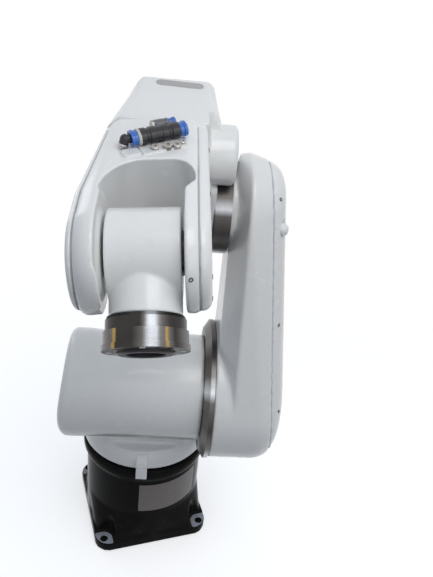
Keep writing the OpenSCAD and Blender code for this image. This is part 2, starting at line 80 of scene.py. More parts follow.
look = Vector((math.sin(HEADING) * math.cos(PITCH),
               math.cos(HEADING) * math.cos(PITCH), -math.sin(PITCH)))
level_right = Vector((math.cos(HEADING), -math.sin(HEADING), 0))
level_up = level_right.cross(look)
right = math.cos(ROLL) * level_right + math.sin(ROLL) * level_up
up = -math.sin(ROLL) * level_right + math.cos(ROLL) * level_up
camera_data = bpy.data.cameras.new("camera")
camera_data.sensor_width = SENSOR_MM
camera_data.lens = FOCAL_PX / PHOTO_HEIGHT_PX * SENSOR_MM
camera = bpy.data.objects.new("camera", camera_data)
bpy.context.scene.collection.objects.link(camera)
turned = Matrix((right, up, -look)).transposed().to_4x4()
camera.matrix_world = Matrix.Translation(CAMERA_PLACE) @ turned
bpy.context.scene.camera = camera
bpy.context.scene.view_settings.view_transform = "Standard"
print("lens", round(camera_data.lens, 2), "mm")

# %% [markdown]
# ## Light and floor
#
# Soft ceiling light and a pale floor. The background is white because the world is white
# for camera, glossy and transmission rays only. The light that falls on the arm is set apart
# from it, so the paint keeps its own shade. A brighter world would whiten the background too,
# but it would wash out the paint.

# %% World and lamps
def fill(node, values):
    """Set inputs of a node by their names."""
    for key, value in values.items():
        node.inputs[key].default_value = value


LIGHT_ON_ARM = (0.56, 0.61, 0.68, 1)
LIGHT_STRENGTH = 0.76
world = bpy.data.worlds.new("studio")
bpy.context.scene.world = world
world.use_nodes = True
tree = world.node_tree
tree.nodes.clear()
new, link = tree.nodes.new, tree.links.new
out = new("ShaderNodeOutputWorld")
mix = new("ShaderNodeMixShader")
seen = new("ShaderNodeBackground")
felt = new("ShaderNodeBackground")
path = new("ShaderNodeLightPath")
glossy = new("ShaderNodeMath")
clear = new("ShaderNodeMath")
for node in (glossy, clear):
    node.operation = "MAXIMUM"
fill(seen, {"Color": (1, 1, 1, 1)})
fill(felt, {"Color": LIGHT_ON_ARM, "Strength": LIGHT_STRENGTH})
link(path.outputs["Is Camera Ray"], glossy.inputs[0])
link(path.outputs["Is Glossy Ray"], glossy.inputs[1])
link(glossy.outputs[0], clear.inputs[0])
link(path.outputs["Is Transmission Ray"], clear.inputs[1])
link(clear.outputs[0], mix.inputs[0])
link(felt.outputs[0], mix.inputs[1])
link(seen.outputs[0], mix.inputs[2])
link(mix.outputs[0], out.inputs["Surface"])


def area_lamp(name, place, target, size, watts, colour):
    """A soft rectangular lamp at place that points at target."""
    data = bpy.data.lights.new(name, "AREA")
    data.shape = "RECTANGLE"
    data.size, data.size_y = size
    data.energy = watts
    data.color = colour
    lamp = bpy.data.objects.new(name, data)
    lamp.location = place
    lamp.rotation_mode = "QUATERNION"
    aim = Vector(target) - Vector(place)
    lamp.rotation_quaternion = aim.to_track_quat("-Z", "Y")
    bpy.context.scene.collection.objects.link(lamp)


ARM_MIDDLE, FORK_MIDDLE = (-0.03, -0.1, 0.4), (0.05, -0.15, 0.55)
area_lamp("ceiling", (0.1, -0.75, 1.5), ARM_MIDDLE, (0.7, 0.6), 3.7, (1, 0.98, 0.95))
area_lamp("front_window", (0.4, -1.7, 1.0), FORK_MIDDLE, (0.9, 0.8), 2.6, (0.90, 0.95, 1))
area_lamp("far_wall", (1.3, -1.2, 0.9), ARM_MIDDLE, (0.8, 1.2), 0.8, (1, 0.93, 0.84))
area_lamp("back_window", (-0.75, 1.6, 1.25), ARM_MIDDLE, (0.5, 0.9), 2.0, (0.95, 0.98, 1))

# %% [markdown]
# The floor is pale where it is looked at and darker for the light that it throws back, so it
# doesn't brighten the underside of the arm. Away from the foot it fades to plain white, and
# near the foot it keeps the shadow. A curved backdrop could hide its far edge, but a fade in
# the material of a plain plane works from every side.

# %% Floor
FLOOR_HALF, FLOOR_DROP = 30, 0.0005
FADE_START, FADE_END = 0.30, 0.95
TONE_FELT, TONE_SEEN, GLOW_SEEN = 0.06, 0.80, 0.56
floor_mesh = bpy.data.meshes.new("floor")
corners = [(x * FLOOR_HALF, y * FLOOR_HALF, 0)
           for x, y in ((-1, -1), (1, -1), (1, 1), (-1, 1))]
floor_mesh.from_pydata(corners, [], [(0, 1, 2, 3)])
floor = bpy.data.objects.new("floor", floor_mesh)
floor.location.z = -FLOOR_DROP
bpy.context.scene.collection.objects.link(floor)
floor_paint = bpy.data.materials.new("pale_floor")
floor_paint.use_nodes = True
tree = floor_paint.node_tree
tree.nodes.clear()
new, link = tree.nodes.new, tree.links.new
out = new("ShaderNodeOutputMaterial")
path = new("ShaderNodeLightPath")
where = new("ShaderNodeTexCoord")
length = new("ShaderNodeVectorMath")
length.operation = "LENGTH"
far = new("ShaderNodeMapRange")
far.interpolation_type = "SMOOTHSTEP"
fill(far, {"From Min": FADE_START, "From Max": FADE_END})
looked = new("ShaderNodeMath")
looked.operation = "MAXIMUM"
tone = new("ShaderNodeMapRange")
fill(tone, {"To Min": TONE_FELT, "To Max": TONE_SEEN})
lift = new("ShaderNodeMapRange")
fill(lift, {"To Max": GLOW_SEEN})
matt = new("ShaderNodeBsdfDiffuse")
glow = new("ShaderNodeEmission")
white = new("ShaderNodeEmission")
add = new("ShaderNodeAddShader")
away = new("ShaderNodeMath")
away.operation = "MULTIPLY"
mix = new("ShaderNodeMixShader")
link(where.outputs["Object"], length.inputs[0])
link(length.outputs["Value"], far.inputs["Value"])
link(path.outputs["Is Camera Ray"], looked.inputs[0])
link(path.outputs["Is Glossy Ray"], looked.inputs[1])
link(looked.outputs[0], tone.inputs["Value"])
link(looked.outputs[0], lift.inputs["Value"])
link(tone.outputs["Result"], matt.inputs["Color"])
link(lift.outputs["Result"], glow.inputs["Strength"])
link(glow.outputs[0], add.inputs[0])
link(matt.outputs[0], add.inputs[1])
link(looked.outputs[0], away.inputs[0])
link(far.outputs["Result"], away.inputs[1])
link(away.outputs[0], mix.inputs[0])
link(add.outputs[0], mix.inputs[1])
link(white.outputs[0], mix.inputs[2])
link(mix.outputs[0], out.inputs["Surface"])
floor_mesh.materials.append(floor_paint)
print("floor:", 2 * FLOOR_HALF, "m wide")

# %% [markdown]
# ## Places of the links
#
# Every link of the arm has its own frame: turret, lower arm, elbow, fork, wrist. The sizes
# are those of the CAD source, so a detail can be placed in the frame of the link that
# carries it, and then moved to its place in the whole arm by one matrix.

# %% Link frames
def turn(axis, degrees):
    """A turn about one axis."""
    return Matrix.Rotation(math.radians(degrees), 4, axis)


def shift(x, y, z):
    """A move in mm."""
    return Matrix.Translation(Vector((x, y, z)) * MM)


SHOULDER_Y, SHOULDER_Z = -82.5, 323.5
ARM_LENGTH = 270
WRIST_Y = -168
TOOL_FACE_Y = -86.5
FITTING_TURN = 22
TURRET_TURN, ARM_LEAN, ELBOW_SWING, FORK_ROLL, WRIST_BEND = -15.8, -5.7, 14.9, -6, 38.6

BASE = Matrix.Identity(4)
TURRET = turn("Z", TURRET_TURN)
ARM = TURRET @ shift(0, SHOULDER_Y, SHOULDER_Z) @ turn("X", ARM_LEAN)
ELBOW = ARM @ shift(0, 0, ARM_LENGTH) @ turn("X", ELBOW_SWING)
FORK = ELBOW @ shift(-4, -73, 94) @ turn("Y", FORK_ROLL)
WRIST = FORK @ shift(0, WRIST_Y, 0) @ turn("X", WRIST_BEND)
FITTING = FORK @ shift(9, -53, 50) @ turn("Z", FITTING_TURN)
print("tool face at", [round(v, 3) for v in WRIST @ Vector((0, TOOL_FACE_Y * MM, 0))])

# %% [markdown]
# ## Finishes
#
# Paint is never one flat colour: it has a fine orange peel, a slight yellowing in patches
# and some dust. All patterns read Object coordinates, which stay put when a link moves. A
# value that is the same all over is set on the shader itself, so that it exports.

# %% Helpers for materials
COAT_ROUGHNESS = 0.1
NOISE_LOW, NOISE_HIGH = 0.3, 0.7


def start_material(name, roughness, metallic=0.0, coat=0.0):
    """A material with its shader, and the Object coordinates that its patterns read."""
    material = bpy.data.materials.new(name)
    material.use_nodes = True
    nodes = material.node_tree.nodes
    shader = nodes["Principled BSDF"]
    fill(shader, {"Roughness": roughness, "Metallic": metallic, "Coat Weight": coat,
                  "Coat Roughness": COAT_ROUGHNESS})
    place = nodes.new("ShaderNodeTexCoord").outputs["Object"]
    return material, shader, place


def noise(material, place, scale, detail):
    """A noise pattern, mostly between NOISE_LOW and NOISE_HIGH."""
    node = material.node_tree.nodes.new("ShaderNodeTexNoise")
    fill(node, {"Scale": scale, "Detail": detail})
    material.node_tree.links.new(place, node.inputs["Vector"])
    return node.outputs["Fac"]


def ramp(material, value, stops):
    """Colours at places along a value from 0 to 1."""
    node = material.node_tree.nodes.new("ShaderNodeValToRGB")
    while len(node.color_ramp.elements) < len(stops):
        node.color_ramp.elements.new(0.5)
    for element, (position, colour) in zip(node.color_ramp.elements, stops):
        element.position = position
        element.color = (*colour, 1)
    material.node_tree.links.new(value, node.inputs["Fac"])
    return node.outputs["Color"]


def spread(material, value, low, high):
    """A noise value mapped to a range, for roughness."""
    node = material.node_tree.nodes.new("ShaderNodeMapRange")
    fill(node, {"From Min": NOISE_LOW, "From Max": NOISE_HIGH, "To Min": low, "To Max": high})
    material.node_tree.links.new(value, node.inputs["Value"])
    return node.outputs["Result"]


def bump(material, shader, height, strength, distance):
    """A height pattern on the shader's normal."""
    node = material.node_tree.nodes.new("ShaderNodeBump")
    fill(node, {"Strength": strength, "Distance": distance})
    material.node_tree.links.new(height, node.inputs["Height"])
    material.node_tree.links.new(node.outputs["Normal"], shader.inputs["Normal"])


def multiply(material, one, two):
    """Two colours multiplied."""
    node = material.node_tree.nodes.new("ShaderNodeMix")
    node.data_type = "RGBA"
    node.blend_type = "MULTIPLY"
    fill(node, {"Factor": 1})
    material.node_tree.links.new(one, node.inputs["A"])
    material.node_tree.links.new(two, node.inputs["B"])
    return node.outputs["Result"]


print("helpers ready")

# %% [markdown]
# The castings are sprayed, and the seals and fittings are moulded. Image textures could show
# that, but they need a UV map for every piece. Noise needs none, so one function makes all of
# these finishes. Patches change the tone a little over a hand's width, specks of dust are
# smaller, and the peel is a fine bump. Gloss is the share of light that the surface mirrors.

# %% Paint, rubber and plastic
PATCH_SCALE, DUST_SCALE, GLOSS_SCALE, PEEL_DEPTH = 5, 90, 38, 0.0003


def paint(name, low, high, dust, rough_low, rough_high, peel_scale, peel, coat, gloss=0.5):
    """Sprayed paint: patches of tone, fine dust, orange peel and uneven gloss."""
    material, shader, place = start_material(name, rough_low, coat=coat)
    fill(shader, {"Specular IOR Level": gloss})
    link = material.node_tree.links.new
    patches = ramp(material, noise(material, place, PATCH_SCALE, 3),
                   [(NOISE_LOW, low), (NOISE_HIGH, high)])
    specks = ramp(material, noise(material, place, DUST_SCALE, 2),
                  [(0.26, dust), (0.42, (1, 1, 1))])
    link(multiply(material, patches, specks), shader.inputs["Base Color"])
    link(spread(material, noise(material, place, GLOSS_SCALE, 4), rough_low, rough_high),
         shader.inputs["Roughness"])
    bump(material, shader, noise(material, place, peel_scale, 2), peel, PEEL_DEPTH)
    return material


white_paint = paint("white_paint", (0.85, 0.85, 0.84), (0.88, 0.88, 0.87),
                    (0.97, 0.97, 0.96), 0.22, 0.28, 140, 0.02, 0.3)
black_paint = paint("black_paint", (0.006, 0.006, 0.006), (0.012, 0.011, 0.011),
                    (1.9, 1.8, 1.7), 0.10, 0.20, 300, 0.06, 0.0, 0.03)
rubber = paint("seal_rubber", (0.010, 0.010, 0.010), (0.018, 0.018, 0.018),
               (1.6, 1.6, 1.6), 0.5, 0.65, 900, 0.2, 0.0, 0.2)
black_plastic = paint("black_plastic", (0.014, 0.014, 0.018), (0.026, 0.026, 0.032),
                      (1.5, 1.5, 1.5), 0.3, 0.45, 1500, 0.12, 0.0, 0.4)
blue_plastic = paint("blue_plastic", (0.022, 0.12, 0.46), (0.035, 0.17, 0.58),
                     (1.2, 1.2, 1.2), 0.25, 0.38, 1500, 0.08, 0.1)
pale_plastic = paint("pale_plastic", (0.52, 0.51, 0.46), (0.60, 0.59, 0.55),
                     (0.9, 0.9, 0.9), 0.3, 0.45, 1500, 0.08, 0.0)
lilac_plastic = paint("lilac_plastic", (0.10, 0.10, 0.125), (0.15, 0.15, 0.18),
                      (0.8, 0.8, 0.8), 0.25, 0.4, 1500, 0.08, 0.1)
gasket = paint("gasket", (0.42, 0.45, 0.49), (0.50, 0.53, 0.57),
               (0.8, 0.8, 0.8), 0.45, 0.6, 900, 0.1, 0.0)
pale_gasket = paint("pale_gasket", (0.62, 0.63, 0.65), (0.68, 0.69, 0.71),
                    (0.9, 0.9, 0.9), 0.45, 0.6, 900, 0.1, 0.0)
grey_plate = paint("bare_grey_plate", (0.40, 0.39, 0.385), (0.47, 0.46, 0.45),
                   (0.8, 0.8, 0.8), 0.35, 0.5, 1100, 0.06, 0.0)
# The label's tone is set much darker than its pale foil: painted shade for the dim foot of the
# column.
label_foil = paint("bare_label", (0.17, 0.15, 0.143), (0.215, 0.19, 0.182),
                   (0.85, 0.84, 0.82), 0.28, 0.4, 700, 0.05, 0.0, 0.3)
machined = paint("machined_pad", (0.26, 0.28, 0.33), (0.36, 0.385, 0.43),
                 (0.6, 0.55, 0.5), 0.4, 0.55, 600, 0.1, 0.0)
print("paints:", len(bpy.data.materials))

# %% [markdown]
# Turned steel shows very fine rings from the tool. The light and dark bands that fan out from
# its axis are painted reflections: the bright band, gold glints and dark sides that a mirror-like
# ring shows of the room are set in its colour, at fixed angles from the side that faces the camera.
# The Anisotropic input of the shader could draw such bands, but the lamps would then decide where
# they fall. Here a Mapping node brings the pattern into a frame whose Z is the axis of the ring. A
# radial Gradient then gives the angle, and a Color Ramp the painted reflection at that angle.

# %% Turned steel
# Colours of the painted reflections on turned steel: the dark room, mid and soft grey, the bright
# window and a warm gold glint.
REFLECTION_DARK, REFLECTION_MID = (0.050, 0.047, 0.046), (0.15, 0.143, 0.143)
REFLECTION_LIGHT, REFLECTION_GOLD = (0.74, 0.77, 0.82), (0.40, 0.27, 0.10)
REFLECTION_SOFT = (0.36, 0.38, 0.42)
RING_SCALE, RING_DEPTH, CLOUD_SCALE = 2600, 0.0002, 60


def turned_steel(name, ring_frame, front, painted_reflections, roughness, share=1.0):
    """Steel turned about Z of ring_frame. painted_reflections: (degrees from front, the side that
    faces the camera, colour), a painted reflection at each angle; share darkens them all."""
    material, shader, place = start_material(name, roughness, metallic=1.0)
    nodes, link = material.node_tree.nodes, material.node_tree.links.new
    back = (ring_frame @ turn("Z", front)).inverted()
    mapping = nodes.new("ShaderNodeMapping")
    fill(mapping, {"Location": back.translation, "Rotation": back.to_euler()})
    link(place, mapping.inputs["Vector"])
    angle = nodes.new("ShaderNodeTexGradient")
    angle.gradient_type = "RADIAL"
    link(mapping.outputs[0], angle.inputs["Vector"])
    axes = nodes.new("ShaderNodeSeparateXYZ")
    link(mapping.outputs[0], axes.inputs[0])
    rings = nodes.new("ShaderNodeTexNoise")
    rings.noise_dimensions = "1D"
    fill(rings, {"Scale": RING_SCALE})
    link(axes.outputs["Z"], rings.inputs["W"])
    # The painted reflections: a colour at each angle around the ring's axis.
    tone = ramp(material, angle.outputs["Fac"],
                [(0.5 + degrees / 360, [share * c for c in colour]) for degrees, colour in painted_reflections])
    fine = ramp(material, rings.outputs["Fac"], [(0.3, (0.93, 0.93, 0.92)), (0.7, (1, 1, 1))])
    cloud = ramp(material, noise(material, place, CLOUD_SCALE, 4),
                 [(0.3, (0.82, 0.81, 0.80)), (0.65, (1, 1, 1))])
    link(multiply(material, multiply(material, tone, fine), cloud), shader.inputs["Base Color"])
    link(spread(material, rings.outputs["Fac"], roughness * 0.75, roughness * 1.3),
         shader.inputs["Roughness"])
    bump(material, shader, rings.outputs["Fac"], 0.12, RING_DEPTH)
    return material


# Painted reflections as (degrees from the side that faces the camera, colour): the bands a
# mirror-like ring shows of the room, set into its colour.
D, M, L, G, S = REFLECTION_DARK, REFLECTION_MID, REFLECTION_LIGHT, REFLECTION_GOLD, REFLECTION_SOFT
FLANGE_REFLECTIONS = [
    (-180, D), (-150, M), (-128, L), (-118, M), (-96, D), (-62, M), (-49, M), (-47, G), (-43, G),
    (-41, D), (-18, D), (-5, M), (0, S), (13, S), (18, M), (24, M), (25.5, G), (28.5, G), (30, M),
    (40, D), (58, M), (90, D), (118, M), (130, L), (142, M), (180, D)]
COLLAR_REFLECTIONS = [
    (-180, D), (-150, M), (-128, L), (-118, M), (-96, D), (-30, D), (-8, D), (-3, M), (2, S),
    (12, S), (18, M), (34, D), (90, D), (118, M), (130, L), (142, M), (180, D)]
RING_REFLECTIONS = [
    (-180, D), (-150, M), (-120, L), (-100, M), (-70, D), (-40, M), (-24, D), (-8, M),
    (4, L), (12, M), (34, D), (60, M), (78, L), (90, M), (120, D), (150, M), (180, D)]
# The angle of the side of each ring that faces the camera, from which its painted reflections are
# laid out.
WRIST_FRONT, SHOULDER_FRONT, ELBOW_FRONT = 84.8, -128.3, -121.7
WRIST_AXIS = WRIST @ turn("X", 90)
flange_steel = turned_steel("flange_steel", WRIST_AXIS, WRIST_FRONT,
                            [(-d, c) for d, c in reversed(FLANGE_REFLECTIONS)], 0.26)
wrist_steel = turned_steel("wrist_steel", WRIST_AXIS, WRIST_FRONT,
                           [(-d, c) for d, c in reversed(COLLAR_REFLECTIONS)], 0.26)
SHOULDER_AXIS = TURRET @ shift(0, SHOULDER_Y, SHOULDER_Z) @ turn("Y", 90)
shoulder_steel = turned_steel("shoulder_steel", SHOULDER_AXIS, SHOULDER_FRONT,
                              RING_REFLECTIONS, 0.30)
# The elbow ring's painted reflections are darkened by a share of 0.8: painted shade for the gap
# between elbow and lower arm where it sits.
elbow_steel = turned_steel("elbow_steel", ELBOW @ turn("Y", 90), ELBOW_FRONT,
                           RING_REFLECTIONS, 0.34, 0.8)
screw_steel = paint("screw_steel", (0.30, 0.29, 0.285), (0.52, 0.51, 0.50),
                    (0.5, 0.48, 0.45), 0.28, 0.4, 1400, 0.1, 0.0)
fill(screw_steel.node_tree.nodes["Principled BSDF"], {"Metallic": 1.0})
dark_screw = paint("dark_screw", (0.07, 0.07, 0.075), (0.14, 0.14, 0.145),
                   (0.7, 0.7, 0.7), 0.35, 0.45, 1400, 0.1, 0.0)
fill(dark_screw.node_tree.nodes["Principled BSDF"], {"Metallic": 0.9})
print("materials:", len(bpy.data.materials))

# %% [markdown]
# ## Castings
#
# The castings of the real arm have soft edges under their paint. The CAD solids have crisp
# ones. A Bevel modifier trips over the long thin triangles of such a solid. So a copy is
# merged, turned into an even skin by a voxel remesh, and relaxed, which rounds every edge
# alike. The remesh is done in the frame of the link, so that its flat faces lie along the
# grid and stay flat.

# %% Soft copies
def finish_piece(piece, body, material, slot=None):
    """Material and body of a finished piece whose place is in its mesh. The slot argument is not
    used.
    """
    piece.data.materials.clear()
    piece.data.materials.append(material)
    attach(piece, body)
    return piece


def add_object(name, mesh):
    """A new object in the scene, at the origin."""
    piece = bpy.data.objects.new(name, mesh)
    bpy.context.scene.collection.objects.link(piece)
    return piece


def baked(piece):
    """The mesh of a piece with its modifiers applied."""
    depsgraph = bpy.context.evaluated_depsgraph_get()
    return bpy.data.meshes.new_from_object(piece.evaluated_get(depsgraph))


def soft_casting(name, node, body, link_frame, finish, voxel, rounds, shape=None):
    """A soft copy of a node, with voxels in mm and rounds of smoothing."""
    mesh = frame["nodes"][node].data.copy()
    skin = bmesh.new()
    skin.from_mesh(mesh)
    bmesh.ops.remove_doubles(skin, verts=skin.verts, dist=0.01 * MM)
    skin.to_mesh(mesh)
    skin.free()
    mesh.transform(link_frame.inverted())
    piece = add_object(name, mesh)
    remesh = piece.modifiers.new("even_skin", "REMESH")
    remesh.mode = "VOXEL"
    remesh.voxel_size = voxel * MM
    relax = piece.modifiers.new("relax", "SMOOTH")
    relax.factor = 0.5
    relax.iterations = rounds
    even = baked(piece)
    piece.modifiers.clear()
    if shape:
        for vertex in even.vertices:
            vertex.co = Vector(shape(*(vertex.co / MM))) * MM
    even.transform(link_frame)
    even.polygons.foreach_set("use_smooth", [True] * len(even.polygons))
    piece.data = even
    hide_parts(node)
    print(name, len(even.polygons), "faces")
    return finish_piece(piece, body, *finish)


print("soft copies ready")

# %% [markdown]
# ## Corrections of form
#
# In some places the photograph shows a form that is a little fuller or leaner than the
# solid. A shape function moves the points of the soft copy there. It takes and gives a point
# in mm, in the frame of the link, and fades out by smooth_step so that no edge shows where
# it ends. A Lattice could bend the copy too, but a few named millimetres are easier to read
# and to change.

# %% Shape functions
def smooth_step(low, high, value):
    """0 at low, 1 at high, and an even curve between them."""
    t = min(max((value - low) / (high - low), 0), 1)
    return t * t * (3 - 2 * t)


BOSS_Y, BOSS_Z, BOSS_RADIUS = -34, 88, 34
ELBOW_REAR, ELBOW_BACK, ELBOW_RISE = 34, 3, 2.5


def elbow_shape(x, y, z):
    """The rear of the elbow stands out and up a little, and its right front corner draws back
    into the round of the motor boss."""
    back = max(y, 0) / ELBOW_REAR
    y, z = y + ELBOW_BACK * back, z + ELBOW_RISE * back * smooth_step(90, 142, z)
    weight = smooth_step(50, 56, x) * smooth_step(-36, -46, y) * smooth_step(50, 58, z)
    reach = math.hypot(y - BOSS_Y, z - BOSS_Z)
    if weight and reach > BOSS_RADIUS - 1:
        share = 1 - weight * (1 - (BOSS_RADIUS - 1) / reach)
        y, z = BOSS_Y + share * (y - BOSS_Y), BOSS_Z + share * (z - BOSS_Z)
    return x, y, z


FORK_LEFT, DRAW_IN, DRAW_LENGTH = 63, 15, 130


def fork_shape(x, y, z):
    """The left side of the fork draws in towards the elbow."""
    if x < 0:
        x += DRAW_IN * min(-x / FORK_LEFT, 1) * min(max(1 + y / DRAW_LENGTH, 0), 1)
    return x, y, z


FULLER_LEFT, FULLER_RIGHT = 5, 3


def nose_shape(x, y, z):
    """The outer sides of the nose are as full at its underside as the inner ones."""
    side = FULLER_LEFT * smooth_step(40, 57, -x) + FULLER_RIGHT * smooth_step(32, 48, x)
    reach = math.hypot(y - WRIST_Y, z)
    if side and reach > 20:
        way = math.degrees(math.atan2(-z, WRIST_Y - y))
        push = side * smooth_step(20, 50, reach) / reach
        push *= smooth_step(-10, 50, way) * smooth_step(150, 105, way)
        y, z = y + push * (y - WRIST_Y), z + push * z
    return x, y, z


BARREL_RADIUS, BARREL_END = 74.5, -114
CAD_CORNER, TIGHT_CORNER = 20, 11
BARREL_WIDER, BARREL_LEAN = 1.5, 9
BARREL_LONGER, TOP_LONGER = 0.5, 3


def round_edge(along, corner):
    """Radius of the barrel at a distance from its end, for a corner of that radius."""
    short = max(corner - along, 0)
    return BARREL_RADIUS - corner + math.sqrt(max(corner ** 2 - short ** 2, 0))


def turret_shape(x, y, z):
    """The left end of the shoulder barrel has a tighter edge, and leans in at its top."""
    reach = math.hypot(y - SHOULDER_Y, z - SHOULDER_Z)
    along = max(x - BARREL_END, 0)
    near = smooth_step(95, 82, reach)
    if reach > 40 and x < -60:
        grow = round_edge(along, TIGHT_CORNER) - round_edge(along, CAD_CORNER)
        grow *= smooth_step(48, 55, reach)
        grow = near * (grow + BARREL_WIDER * smooth_step(-60, -100, x))
        y, z = (SHOULDER_Y + (y - SHOULDER_Y) * (1 + grow / reach),
                SHOULDER_Z + (z - SHOULDER_Z) * (1 + grow / reach))
    longer = BARREL_LONGER + TOP_LONGER * smooth_step(245, 335, z)
    x -= near * longer * smooth_step(-70, -105, x)
    return x + BARREL_LEAN * smooth_step(290, 400, z) * smooth_step(-40, BARREL_END, x), y, z


TAB_SLOPE = 12


def tab_shape(x, y, z):
    """The top of the tab slopes to the front, along the edge of the disc."""
    return x, y, z - TAB_SLOPE * smooth_step(-92, -110, y) * smooth_step(183, 203, z)


print("shape functions ready")

# %% [markdown]
# Ten castings and covers make up the painted body of the arm. Large castings take a coarse
# grid, and thin covers a fine one, because a grid as coarse as a wall would tear it. More
# rounds of smoothing give a softer edge, as on the turret.

# %% Soften the castings
WHITE, BLACK = (white_paint, "white_paint"), (black_paint, "black_paint")
soft_casting("base_body", "base_casting", "base", BASE, BLACK, 2.0, 5)
soft_casting("turret_body", "turret_casting", "turret", TURRET, WHITE, 2.0, 18, turret_shape)
soft_casting("tab", "turret_tab", "turret", TURRET, WHITE, 0.8, 4, tab_shape)
soft_casting("lower_arm_body", "lower_arm_casting", "lower_arm", ARM, WHITE, 2.0, 8)
arm_cover = soft_casting("lower_arm_shell", "lower_arm_cover", "lower_arm", ARM, WHITE, 1.8, 5)
soft_casting("elbow_body", "elbow_housing", "elbow", ELBOW, WHITE, 1.8, 14, elbow_shape)
fork_body = soft_casting("fork_body", "fork_casting", "fork", FORK, WHITE, 1.5, 7)
fork_left = soft_casting("fork_left_shell", "fork_left_cover", "fork", FORK, WHITE, 1.1, 2)
fork_right = soft_casting("fork_right_shell", "fork_right_cover", "fork", FORK, WHITE, 1.1, 2)
soft_casting("wrist_body", "wrist_housing", "wrist", WRIST, WHITE, 1.3, 4)

# %% [markdown]
# ## Nodes that stay as they are
#
# Rings, pins and sockets are turned or moulded parts whose CAD shape is already right. A new
# mesh would add nothing, so they only get their finish.

# %% Finish the kept nodes
KEPT = {
    "base_seal": rubber, "connector_panel": grey_plate, "power_socket": black_plastic,
    "signal_socket": black_plastic, "air_inlet": screw_steel, "shoulder_ring": shoulder_steel,
    "elbow_ring": elbow_steel, "fitting_bracket": white_paint, "wrist_left_pin": wrist_steel,
    "wrist_right_pin": wrist_steel, "wrist_ring": wrist_steel, "tool_flange": flange_steel,
    "flange_sleeve": black_plastic,
}
for name, material in KEPT.items():
    slots = frame["nodes"][name].data.materials
    slots.clear()
    slots.append(material)
print("kept nodes:", len(KEPT))

# %% [markdown]
# ## Turned pieces
#
# The motor boss, the air fitting and the plug are round, so a half outline is spun about an
# axis. A Screw modifier could do it, if the double points at its poles are merged. Here rows
# of points are written straight into a mesh, which takes an axis at any tilt. An outline that
# starts and ends on the axis closes at two poles, and one that doesn't is closed to a ring.

# %% Lathe
def lathe(outline, place, sides=40):
    """Vertices and faces of an outline of (along, radius) in mm, spun about +X of place."""
    verts, faces, rows = [], [], []
    for along, radius in outline:
        if radius < 1e-6:
            rows.append([len(verts)])
            verts.append(place @ (Vector((along, 0, 0)) * MM))
            continue
        row = []
        for k in range(sides):
            a = 2 * math.pi * k / sides
            row.append(len(verts))
            spot = Vector((along, radius * math.cos(a), radius * math.sin(a)))
            verts.append(place @ (spot * MM))
        rows.append(row)
    pairs = list(zip(rows, rows[1:]))
    if len(rows[0]) > 1 and len(rows[-1]) > 1:
        pairs.append((rows[-1], rows[0]))
    for one, two in pairs:
        for k in range(sides):
            n = (k + 1) % sides
            if len(one) == 1:
                faces.append((one[0], two[n], two[k]))
            elif len(two) == 1:
                faces.append((one[k], one[n], two[0]))
            else:
                faces.append((one[k], one[n], two[n], two[k]))
    return verts, faces


def piece_from(name, parts, smooth_angle=35):
    """One object from several (verts, faces), smooth but for its sharp edges."""
    verts, faces = [], []
    for part_verts, part_faces in parts:
        start = len(verts)
        verts += part_verts
        faces += [tuple(i + start for i in f) for f in part_faces]
    mesh = bpy.data.meshes.new(name)
    mesh.from_pydata(verts, [], faces)
    skin = bmesh.new()
    skin.from_mesh(mesh)
    bmesh.ops.recalc_face_normals(skin, faces=skin.faces)
    for edge in skin.edges:
        edge.smooth = edge.calc_face_angle(math.pi) < math.radians(smooth_angle)
    for face in skin.faces:
        face.smooth = True
    skin.to_mesh(mesh)
    skin.free()
    return add_object(name, mesh)


print("lathe ready")

# %% [markdown]
# The motor boss is the round drum on the right of the elbow. Its edge is rounder than a remesh
# would leave it, so the outline draws it in four short steps.

# %% Motor boss
boss_outline = [(48, 0), (48, BOSS_RADIUS), (80.3, BOSS_RADIUS), (82.6, 33.5), (84.6, 32.2),
                (85.9, 30.2), (86.3, 28), (86.3, 0)]
boss = piece_from("elbow_motor_boss",
                  [lathe(boss_outline, ELBOW @ shift(0, BOSS_Y, BOSS_Z), 96)])
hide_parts("elbow_boss")
finish_piece(boss, "elbow", *WHITE)
print("boss done")

# %% [markdown]
# The air fitting lies on top of the fork. Its body is black plastic with grooves round it,
# wider than it is high, with a pale band at its left end. It is turned as a round piece and
# then stretched by one matrix, which is simpler than an oval outline. Both halves are alike,
# so one is drawn and the other mirrored.

# %% Fitting body
FITTING_LIFT = 8.7
HALF = 21
RADIUS = 7.2
GROOVE = RADIUS - 0.9
FITTING_WIDE = Matrix.Diagonal((1, 1.36, 1, 1))
body_place = FITTING @ shift(0, 0, FITTING_LIFT) @ FITTING_WIDE
right_half = [(2.5, RADIUS - 0.5), (3, RADIUS), (HALF - 12, RADIUS), (HALF - 11, GROOVE),
              (HALF - 9, GROOVE), (HALF - 8, RADIUS), (HALF - 1, RADIUS), (HALF, 6.2), (HALF, 0)]
body_outline = [(-along, radius) for along, radius in reversed(right_half)] + right_half
saddle_outline = [(0, 0), (0, 5.5), (6.5, 4.8), (6.5, 0)]
saddle_place = FITTING @ shift(0, 0, 1.5) @ turn("Y", -90)
fitting_body = piece_from("air_fitting_body", [lathe(body_outline, body_place),
                                               lathe(saddle_outline, saddle_place)])
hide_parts("fitting_body")
finish_piece(fitting_body, "fork", black_plastic, "black_plastic")
pale_band = piece_from("fitting_pale_band", [
    lathe([(-HALF - 0.4, 5.8), (-HALF - 0.4, 7.1), (-HALF + 0.2, 7.35), (-HALF + 2.2, 7.35),
           (-HALF + 2.4, 7.0)], body_place)])
finish_piece(pale_band, "fork", pale_plastic, "panel")
print("fitting body:", len(fitting_body.data.polygons), "faces")

# %% [markdown]
# A small branch lies beside the body, with a six-sided nut, and a blue collar sits at each
# open end. The nut is the same lathe with six sides. The collars differ only in place and
# size, so one function makes all three.

